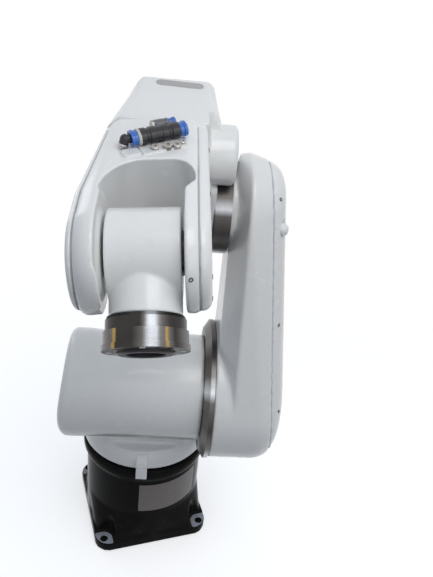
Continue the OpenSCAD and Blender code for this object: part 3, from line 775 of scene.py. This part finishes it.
# %% Branch and collars
BRANCH_Y = 17
branch_place = FITTING @ shift(5, BRANCH_Y, FITTING_LIFT)
branch_outline = [(-4, 0), (-4, 4.6), (-3.2, 5.5), (6, 5.5), (6.5, 5), (7.6, 5),
                  (8.1, 5.5), (10.6, 5.5), (11.5, 4.8), (11.5, 0)]
stub_place = FITTING @ shift(5.5, 6, FITTING_LIFT) @ turn("Z", 90)
stub_outline = [(0, 0), (0, 4.5), (10, 4.5), (10, 0)]
branch = piece_from("air_fitting_branch", [lathe(branch_outline, branch_place, 32),
                                           lathe(stub_outline, stub_place, 32)])
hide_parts("fitting_branch")
finish_piece(branch, "fork", lilac_plastic, "black_plastic")
nut = piece_from("branch_nut", [
    lathe([(-6.4, 0), (-6.4, 4.8), (-5.8, 5.4), (-1.2, 5.4), (-0.6, 4.8), (-0.6, 0)],
          branch_place, 6)], 20)
finish_piece(nut, "fork", screw_steel, "steel")


def release_collar(name, place, outer, bore, node):
    """Blue ring that is pushed to release the fitting, with its bore."""
    outline = [(0, 0), (0, outer - 0.8), (3.5, outer - 0.8), (4.2, outer), (6.6, outer),
               (7.2, outer - 0.6), (7.2, bore + 0.8), (6.6, bore), (0.8, bore), (0.8, 0)]
    ring = piece_from(name, [lathe(outline, place)])
    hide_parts(node)
    finish_piece(ring, "fork", blue_plastic, "blue_plastic")


left_end = FITTING @ shift(-HALF, 0, FITTING_LIFT) @ FITTING_WIDE @ turn("Z", 180)
right_end = FITTING @ shift(HALF, 0, FITTING_LIFT) @ FITTING_WIDE
branch_end = FITTING @ shift(16.5, BRANCH_Y, FITTING_LIFT)
release_collar("left_release_collar", left_end, 7.2, 4.4, "fitting_left_collar")
release_collar("right_release_collar", right_end, 7.0, 4.0, "fitting_right_collar")
release_collar("branch_release_collar", branch_end, 5.2, 3.0, "fitting_branch_collar")
print("branch and three collars done")

# %% [markdown]
# The rest of the round pieces are the lip of the black sleeve in the tool flange, the knuckle
# of the fitting with its metal sleeve, and the plug on the upper arm. A swept bend would be
# truer for the knuckle, but it is so small that two turned pieces read as one.

# %% Lip, knuckle and plug
lip = piece_from("sleeve_lip", [
    lathe([(84, 17.5), (84, 24), (88.6, 24), (89.4, 23.2), (89.4, 18), (88.8, 17.5)],
          WRIST @ turn("Z", -90), 64)])
finish_piece(lip, "flange", black_plastic, "black_plastic")

knuckle_turn = FITTING @ shift(-HALF - 12.5, -0.5, FITTING_LIFT) @ turn("Y", 112)
knuckle = piece_from("fitting_knuckle", [
    lathe([(-1, 0), (-1, 4.2), (8, 4.2), (8.4, 5.0), (11, 5.2), (13.2, 4.2), (14.6, 2.4), (15, 0)],
          FITTING @ shift(-HALF - 2, 0, FITTING_LIFT) @ turn("Z", 180), 28),
    lathe([(-3, 0), (-3, 3.2), (0, 4.6), (4, 4.6), (4.4, 4.0), (6, 4.0), (6, 0)],
          knuckle_turn, 28)])
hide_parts("fitting_elbow")
finish_piece(knuckle, "fork", black_plastic, "black_plastic")
sleeve = piece_from("fitting_sleeve", [
    lathe([(3.6, 0), (3.6, 4.8), (4.2, 5.2), (5.4, 5.2), (5.8, 4.6), (7.6, 4.2), (7.8, 3.6),
           (7.8, 0)], knuckle_turn, 28)])
finish_piece(sleeve, "fork", screw_steel, "steel")

PLUG_SCALE = Matrix.Diagonal((1.3, 1.3, 1.3, 1))
plug_place = ARM @ shift(128, -36, 260) @ turn("Z", -26) @ shift(28, 0, 0) @ PLUG_SCALE
plug_outline = [(-2.8, 0), (-2.8, 6.3), (1.6, 6.3), (2.6, 5.8), (3.0, 5.0), (4.4, 4.2),
                (5.0, 2.6), (5.0, 0)]
plug = piece_from("arm_plug", [lathe(plug_outline, plug_place)])
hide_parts("lower_arm_plug")
finish_piece(plug, "lower_arm", *WHITE)
print("lip, knuckle and plug done")

# %% [markdown]
# ## Gaskets in the seams
#
# A cover meets its casting along a flat seam, and a thin gasket shows there as a line. The
# outline of the seam could be drawn again by hand, but then it would drift from the cover. So
# it is read off the cover itself, by cutting a copy with a plane, and its points are set at
# even distances.

# %% Outline of a seam
def outline_of(piece, point, normal):
    """Ordered points where a plane cuts a piece; the longest loop."""
    skin = bmesh.new()
    skin.from_mesh(piece.data)
    made = bmesh.ops.bisect_plane(skin, geom=skin.verts[:] + skin.edges[:] + skin.faces[:],
                                  plane_co=point, plane_no=normal, dist=1e-7)
    edges = [e for e in made["geom_cut"] if isinstance(e, bmesh.types.BMEdge)]
    beside = {}
    for edge in edges:
        a, b = edge.verts
        beside.setdefault(a, []).append(b)
        beside.setdefault(b, []).append(a)
    loops, used = [], set()
    for start in beside:
        if start in used:
            continue
        loop, here = [], start
        while here is not None and here not in used:
            used.add(here)
            loop.append(here.co.copy())
            here = next((v for v in beside[here] if v not in used), None)
        loops.append(loop)
    skin.free()
    return max(loops, key=len)


def even_loop(points, count):
    """The same closed loop with points at even distances."""
    ends = points + points[:1]
    lengths = [(b - a).length for a, b in zip(ends, ends[1:])]
    step, made, travelled, i = sum(lengths) / count, [], 0.0, 0
    for k in range(count):
        while travelled + lengths[i] < k * step and i < len(lengths) - 1:
            travelled += lengths[i]
            i += 1
        part = (k * step - travelled) / max(lengths[i], 1e-9)
        made.append(ends[i].lerp(ends[i + 1], min(max(part, 0), 1)))
    return made


print("seam helpers ready")

# %% [markdown]
# The gasket itself is a thin round bead. A curve with a bevel would do, but it may twist along
# a closed loop. Here each ring of points is set by the seam's own plane, so it can't twist.

# %% Lay the beads
BEAD_STEPS = 360


def bead(name, loop, normal, move, radius, body, material, slot, sides=8):
    """A round bead of this radius along a loop, moved along the loop's normal."""
    count = len(loop)
    middle = sum(loop, Vector()) / count
    verts, faces = [], []
    for k, point in enumerate(loop):
        along = (loop[(k + 1) % count] - loop[k - 1]).normalized()
        outward = along.cross(normal)
        if outward.dot(point - middle) < 0:
            outward = -outward
        for s in range(sides):
            a = 2 * math.pi * s / sides
            verts.append(point + normal * move
                         + radius * (math.cos(a) * outward + math.sin(a) * normal))
    for k in range(count):
        n = (k + 1) % count
        for s in range(sides):
            t = (s + 1) % sides
            faces.append((k * sides + s, n * sides + s, n * sides + t, k * sides + t))
    piece = piece_from(name, [(verts, faces)], 80)
    return finish_piece(piece, body, material, slot)


def seam(name, piece, link_frame, point, normal, inside, radius, body, material, slot):
    """A bead where a plane, given in a link's frame, meets the outside of a piece."""
    across = (link_frame.to_3x3() @ Vector(normal)).normalized()
    cut = link_frame @ (Vector(point) * MM) + across * inside * MM
    loop = even_loop(outline_of(piece, cut, across), BEAD_STEPS)
    return bead(name, loop, across, -inside * MM, radius * MM, body, material, slot)


left_gasket = seam("fork_left_gasket", fork_left, FORK, (-57.15, 0, 0), (-1, 0, 0), 1.6, 0.55,
                   "fork", gasket, "rubber")
right_gasket = seam("fork_right_gasket", fork_right, FORK, (47.15, 0, 0), (1, 0, 0), 1.6, 0.55,
                    "fork", gasket, "rubber")
seam("arm_gasket", arm_cover, ARM, (167.2, 0, 0), (1, 0, 0.1), 1.8, 0.6,
     "lower_arm", pale_gasket, "rubber")
print("beads laid, with", BEAD_STEPS, "rings each")

# %% [markdown]
# The fork's corrections come after its beads, so that casting, cover and bead move together
# and the seams stay shut.

# %% Reshape the fork
def reshape(piece, link_frame, shape):
    """Move the vertices of a piece by a shape function of its link's frame, in mm."""
    back = link_frame.inverted()
    for vertex in piece.data.vertices:
        vertex.co = link_frame @ (Vector(shape(*(back @ vertex.co / MM))) * MM)


SUNK_SHARE = 0.03


def sunk_shape(x, y, z):
    """Towards the elbow a gasket lies deep in its seam."""
    return x, y, z * (1 - SUNK_SHARE * smooth_step(-100, -80, y))


reshape(right_gasket, FORK, sunk_shape)
for piece in (fork_body, fork_left, left_gasket):
    reshape(piece, FORK, fork_shape)
for piece in (fork_body, fork_left, left_gasket, fork_right, right_gasket):
    reshape(piece, FORK, nose_shape)
print("fork reshaped:", len(fork_body.data.vertices), "points")

# %% [markdown]
# ## Screws
#
# Covers and flanges are held by socket screws. Each is a head with a round rim and a socket,
# and they repeat, so Geometry Nodes put one head on every point of a small mesh of places.
# The tree has named inputs for the sizes, and ends in Realize Instances and Set Material.

# %% Screw tree
def screw_tree():
    """Nodes that put a socket head on each point, along its facing and at its size."""
    tree = bpy.data.node_groups.new("socket_screws", "GeometryNodeTree")
    face = tree.interface
    face.new_socket("Geometry", in_out="INPUT", socket_type="NodeSocketGeometry")
    for label, value in (("Head Radius", 0.003), ("Head Height", 0.002),
                         ("Socket Share", 0.55), ("Socket Depth", 0.0013)):
        face.new_socket(label, in_out="INPUT",
                        socket_type="NodeSocketFloat").default_value = value
    face.new_socket("Finish", in_out="INPUT", socket_type="NodeSocketMaterial")
    face.new_socket("Geometry", in_out="OUTPUT", socket_type="NodeSocketGeometry")
    new, link = tree.nodes.new, tree.links.new
    given = new("NodeGroupInput")
    result = new("NodeGroupOutput")
    head = new("GeometryNodeMeshCylinder")
    fill(head, {"Vertices": 24})
    link(given.outputs["Head Radius"], head.inputs["Radius"])
    link(given.outputs["Head Height"], head.inputs["Depth"])
    rim = new("GeometryNodeExtrudeMesh")
    fill(rim, {"Individual": False, "Offset Scale": 0.0003})
    inset = new("GeometryNodeScaleElements")
    fill(inset, {"Scale": 0.84})
    lip = new("GeometryNodeExtrudeMesh")
    fill(lip, {"Individual": False, "Offset Scale": 0})
    narrow = new("GeometryNodeScaleElements")
    link(given.outputs["Socket Share"], narrow.inputs["Scale"])
    sink = new("GeometryNodeExtrudeMesh")
    fill(sink, {"Individual": False})
    minus = new("ShaderNodeMath")
    minus.operation = "MULTIPLY"
    minus.inputs[1].default_value = -1
    link(given.outputs["Socket Depth"], minus.inputs[0])
    link(minus.outputs[0], sink.inputs["Offset Scale"])
    for mesh, top, node in ((head, head, rim), (rim, rim, inset), (inset, rim, lip),
                            (lip, lip, narrow), (narrow, lip, sink)):
        link(mesh.outputs[0], node.inputs[0])
        link(top.outputs["Top"], node.inputs["Selection"])
    facing = new("GeometryNodeInputNamedAttribute")
    facing.data_type = "FLOAT_VECTOR"
    fill(facing, {"Name": "facing"})
    aim = new("FunctionNodeAlignRotationToVector")
    aim.axis = "Z"
    link(facing.outputs["Attribute"], aim.inputs["Vector"])
    size = new("GeometryNodeInputNamedAttribute")
    size.data_type = "FLOAT"
    fill(size, {"Name": "size"})
    put = new("GeometryNodeInstanceOnPoints")
    link(given.outputs["Geometry"], put.inputs["Points"])
    link(sink.outputs["Mesh"], put.inputs["Instance"])
    link(aim.outputs["Rotation"], put.inputs["Rotation"])
    link(size.outputs["Attribute"], put.inputs["Scale"])
    real = new("GeometryNodeRealizeInstances")
    coat = new("GeometryNodeSetMaterial")
    link(put.outputs["Instances"], real.inputs["Geometry"])
    link(real.outputs["Geometry"], coat.inputs["Geometry"])
    link(given.outputs["Finish"], coat.inputs["Material"])
    link(coat.outputs["Geometry"], result.inputs["Geometry"])
    return tree


SCREW_TREE = screw_tree()
SOCKETS = {s.name: s.identifier for s in SCREW_TREE.interface.items_tree if s.in_out == "INPUT"}
print("screw tree:", len(SCREW_TREE.nodes), "nodes")

# %% [markdown]
# A screw on a curved cover has to sit flush, and its height there isn't known beforehand. So it
# is seated by a ray: it starts outside and flies at the cover, and the head sits where it
# lands, along the face there.

# %% Screw helpers
def seat(piece, link_frame, start, aim):
    """Where a ray in a link's frame meets a piece, and which way the surface faces there."""
    origin = link_frame @ (Vector(start) * MM)
    direction = (link_frame.to_3x3() @ Vector(aim)).normalized()
    hit, place, facing, _ = piece.ray_cast(origin, direction)
    if not hit:
        raise ValueError(f"no surface for a screw from {start}")
    return place, facing


def screws(name, body, places, material, slot, radius=3.0, height=2.0, sink=0.7):
    """Screw heads of one body as one plain mesh. places: (point, facing, size)."""
    mesh = bpy.data.meshes.new(name + "_points")
    mesh.from_pydata([p - f * sink * MM for p, f, _ in places], [], [])
    mesh.attributes.new("facing", "FLOAT_VECTOR", "POINT")
    mesh.attributes.new("size", "FLOAT", "POINT")
    facing, size = mesh.attributes["facing"].data, mesh.attributes["size"].data
    for i, (_, f, s) in enumerate(places):
        facing[i].vector = f
        size[i].value = s
    points = add_object(name, mesh)
    nodes = points.modifiers.new("screws", "NODES")
    nodes.node_group = SCREW_TREE
    nodes[SOCKETS["Head Radius"]] = radius * MM
    nodes[SOCKETS["Head Height"]] = height * MM
    nodes[SOCKETS["Finish"]] = material
    plain = baked(points)
    points.modifiers.clear()
    points.data = plain
    print(name, len(places), "screws,", len(plain.polygons), "faces")
    finish_piece(points, body, material, slot)


print("screw helpers ready")

# %% [markdown]
# Every body gets its own mesh of screws, because a mesh can ride on one body only. The screws
# of the covers are small and dark, those of the flange, the bracket and the panel bright.

# %% Seat the screws
fork_places = []
for piece, start, aim, scale in [
        (fork_body, (39.9, -260, 10.8), (0, 1, 0), 0.9),
        (fork_right, (100, -212, -4), (-1, 0.35, 0), 1.0),
        (fork_right, (100, -190, -34), (-1, 0, 0), 1.0),
        (fork_right, (100, -40, 33), (-1, 0, 0), 1.0),
        (fork_right, (100, -40, -33), (-1, 0, 0), 1.0),
        (fork_right, (100, -130, 36), (-1, 0, 0), 1.0),
        (fork_right, (100, -130, -36), (-1, 0, 0), 1.0),
        (fork_left, (-100, -206, 2), (1, 0.2, 0), 1.0),
        (fork_left, (-100, -40, 33), (1, 0, 0), 1.0),
        (fork_left, (-100, -40, -33), (1, 0, 0), 1.0),
        (fork_left, (-100, -130, 22), (1, 0, 0), 1.0),
        (fork_left, (-100, -130, -22), (1, 0, 0), 1.0)]:
    fork_places.append((*seat(piece, FORK, start, aim), scale))
screws("fork_screws", "fork", fork_places, dark_screw, "dark_steel", 2.4, 1.8, 0.5)

arm_places = []
OUT, UP = 34, 22
for x, radius, middle, degrees in [
        (174, 78, 0, 167), (174, 78, 0, 13), (174, 78, 0, 225), (174, 78, 0, 315),
        (146, 54, ARM_LENGTH, 150), (146, 54, ARM_LENGTH, 30),
        (160, 66, 140, 180), (160, 66, 140, 0)]:
    y, z = math.cos(math.radians(degrees)), math.sin(math.radians(degrees))
    start = (x + OUT, (radius + UP) * y, middle + (radius + UP) * z)
    arm_places.append((*seat(arm_cover, ARM, start, (-OUT, -UP * y, -UP * z)), 1.0))
screws("lower_arm_screws", "lower_arm", arm_places, dark_screw, "dark_steel", 2.4, 1.8, 0.6)

TOOL_BOLTS = 31.5
flange_places = []
for degrees in (0, 90, 180, 270):
    a = math.radians(degrees)
    spot = Vector((TOOL_BOLTS * math.cos(a), TOOL_FACE_Y, TOOL_BOLTS * math.sin(a)))
    flange_places.append((WRIST @ (spot * MM), WRIST.to_3x3() @ Vector((0, -1, 0)), 1.0))
screws("flange_screws", "flange", flange_places, screw_steel, "steel", 2.6, 1.6, 0.5)

bracket_places = []
for x, y, scale in ((-9, -15.5, 1.0), (3, -17.5, 1.15), (11.5, -20, 1.0), (19, -15, 0.8)):
    bracket_places.append((FITTING @ (Vector((x, y, 1.5)) * MM),
                           FITTING.to_3x3() @ Vector((0, -0.25, 1)).normalized(), scale))
screws("bracket_screws", "fork", bracket_places, screw_steel, "steel", 3.9, 4.6, -1.0)

PANEL_FACE, PANEL_SIDE, PANEL_ROWS = 125, 40, (44, 112)
panel_places = []
for x in (-PANEL_SIDE, PANEL_SIDE):
    for z in PANEL_ROWS:
        panel_places.append((Vector((x, PANEL_FACE, z)) * MM, Vector((0, 1, 0)), 1.0))
screws("panel_screws", "base", panel_places, screw_steel, "steel", 2.6, 1.8, 0.2)

# %% [markdown]
# ## Small plates and pads
#
# A bare grey bar lies on top of the elbow, and a small white plinth on the fork. Both are thin
# plates with round corners. A bevelled cube would do as well, but an outline with a thickness
# keeps the corner round and the top edge slightly broken, as on a stamped plate.

# %% Plates
def slab(outline, height, place, edge=0.3):
    """A plate from a flat outline in mm, with a slightly broken top edge."""
    count = len(outline)
    middle = sum((Vector(p) for p in outline), Vector((0, 0))) / count
    rows = []
    for z, inset in ((0, 0), (height - edge, 0), (height, edge)):
        row = []
        for p in outline:
            inward = (middle - Vector(p)).normalized() * inset
            row.append(place @ (Vector((p[0] + inward.x, p[1] + inward.y, z)) * MM))
        rows.append(row)
    verts = [v for row in rows for v in row]
    faces = [tuple(reversed(range(count))), tuple(range(2 * count, 3 * count))]
    for r in range(2):
        for k in range(count):
            n = (k + 1) % count
            faces.append((r * count + k, r * count + n, (r + 1) * count + n, (r + 1) * count + k))
    return verts, faces


def round_rect(width, depth, corner, steps=8):
    """Outline of a rectangle with round corners about its middle."""
    points = []
    for cx, cy, start in ((1, 1, 0), (-1, 1, 90), (-1, -1, 180), (1, -1, 270)):
        for s in range(steps + 1):
            a = math.radians(start + 90 * s / steps)
            points.append((cx * (width / 2 - corner) + corner * math.cos(a),
                           cy * (depth / 2 - corner) + corner * math.sin(a)))
    return points


bar_place = ELBOW @ shift(18, 22.3, 143.1) @ turn("X", 3.9) @ turn("Z", -3)
bar = piece_from("elbow_grey_bar", [slab(round_rect(55, 13, 6), 0.9, bar_place)])
finish_piece(bar, "elbow", grey_plate, "panel")
plinth_place = FORK @ shift(-16, -77, 49.9) @ turn("Z", FITTING_TURN)
plinth = piece_from("fitting_plinth", [slab(round_rect(17, 13, 4), 2.2, plinth_place)])
finish_piece(plinth, "fork", *WHITE)
print("bar and plinth laid")

# %% [markdown]
# The bare label on the column is a thin foil that follows the round wall. Its tone is painted
# darker than the pale foil, as painted shade for the dim foot of the column. A flat plate could be
# bent with a Simple Deform modifier, but its corners are known from the radius and two angles,
# so they are written straight into a mesh.

# %% Label
LABEL_ANGLES = (-17.5, 46.4)
LABEL_HEIGHTS = (78.0, 134.0)
COLUMN_RADIUS, LABEL_SUNK, LABEL_PROUD = 93.0, 0.4, 0.35
LABEL_STEPS = 36
verts, faces = [], []
for k in range(LABEL_STEPS + 1):
    a = math.radians(LABEL_ANGLES[0] + (LABEL_ANGLES[1] - LABEL_ANGLES[0]) * k / LABEL_STEPS)
    for radius in (COLUMN_RADIUS - LABEL_SUNK, COLUMN_RADIUS + LABEL_PROUD):
        for z in LABEL_HEIGHTS:
            verts.append(Vector((radius * math.sin(a), -radius * math.cos(a), z)) * MM)
for k in range(LABEL_STEPS):
    a, b = 4 * k, 4 * k + 4
    faces += [(a, a + 1, b + 1, b), (a + 2, b + 2, b + 3, a + 3),
              (a, b, b + 2, a + 2), (a + 1, a + 3, b + 3, b + 1)]
last = 4 * LABEL_STEPS
faces += [(0, 2, 3, 1), (last, last + 1, last + 3, last + 2)]
label = piece_from("bare_column_label", [(verts, faces)])
finish_piece(label, "base", label_foil, "panel")
print("label:", len(label.data.polygons), "faces")

# %% [markdown]
# A pad is the bare machined metal round a bolt hole of the foot. A Boolean could cut a disc to
# the foot's outline, but a ring is enough whose reach in each direction is the pad's own
# radius, or less where it meets the edge of the foot.

# %% Foot pads
BOLT_AT, BOLT_RADIUS, PAD_RADIUS = 80, 6.2, 16.8
FOOT_HALF, FOOT_CORNER, PAD_INSET = 93, 24, 1.0
PAD_LOW, PAD_HIGH, PAD_STEP = 16.6, 17.3, 0.1


def pad_reach(degrees):
    """How far a pad runs from its bolt: to its own round, or to the edge of the foot."""
    x, y = math.cos(math.radians(degrees)), math.sin(math.radians(degrees))
    reach, middle = 0.0, FOOT_HALF - FOOT_CORNER
    while reach < PAD_RADIUS:
        px, py = BOLT_AT + reach * x, BOLT_AT + reach * y
        over = math.hypot(max(px - middle, 0), max(py - middle, 0))
        if over > FOOT_CORNER - PAD_INSET:
            break
        reach += PAD_STEP
    return reach


pads = []
PAD_SIDES = 60
reaches = [pad_reach(360 * k / PAD_SIDES) for k in range(PAD_SIDES)]
for x in (-1, 1):
    for y in (-1, 1):
        verts, faces = [], []
        for z, inner in ((PAD_LOW, True), (PAD_HIGH, True), (PAD_HIGH, False), (PAD_LOW, False)):
            for k in range(PAD_SIDES):
                a = 2 * math.pi * k / PAD_SIDES
                r = BOLT_RADIUS if inner else reaches[k]
                verts.append(Vector((x * (BOLT_AT + r * math.cos(a)),
                                     y * (BOLT_AT + r * math.sin(a)), z)) * MM)
        for row in range(4):
            for k in range(PAD_SIDES):
                n, m = (k + 1) % PAD_SIDES, (row + 1) % 4
                faces.append((row * PAD_SIDES + k, row * PAD_SIDES + n,
                              m * PAD_SIDES + n, m * PAD_SIDES + k))
        pads.append((verts, faces))
pad_rings = piece_from("foot_pad_faces", pads)
finish_piece(pad_rings, "base", machined, "steel")
print("pads:", len(pads))
